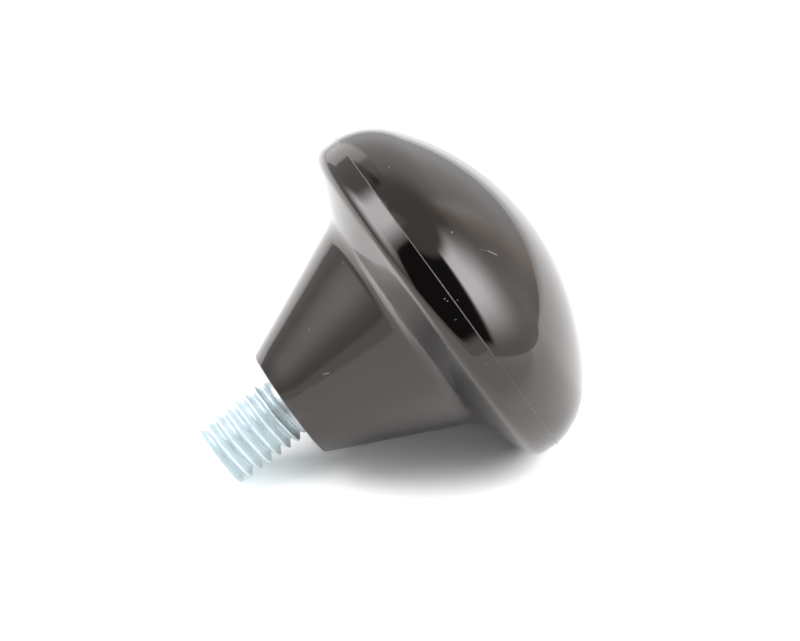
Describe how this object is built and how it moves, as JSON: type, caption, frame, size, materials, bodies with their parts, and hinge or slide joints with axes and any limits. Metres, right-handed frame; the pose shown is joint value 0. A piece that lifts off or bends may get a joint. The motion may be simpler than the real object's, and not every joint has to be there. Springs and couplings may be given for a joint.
{
  "type": "mushroom knob with threaded stud",
  "caption": "Smooth round mushroom knob moulded in one piece, with a low dome, a tapering stem and a steel threaded stud for screwing it into a tapped hole.",
  "frame": {"origin": "centre of the seat, the flat ring at the end of the stem", "axes": "+Z along the knob's axis, from the seat towards the dome; the stud points along -Z"},
  "size_m": [0.0508, 0.0508, 0.0526],
  "materials": {
    "black_moulding": "polished black thermoset moulding",
    "plated_steel": "bright zinc plating with a bluish cast"
  },
  "bodies": {
    "root": {"knob_body": "black_moulding", "threaded_stud": "plated_steel"}
  },
  "joints": []
}
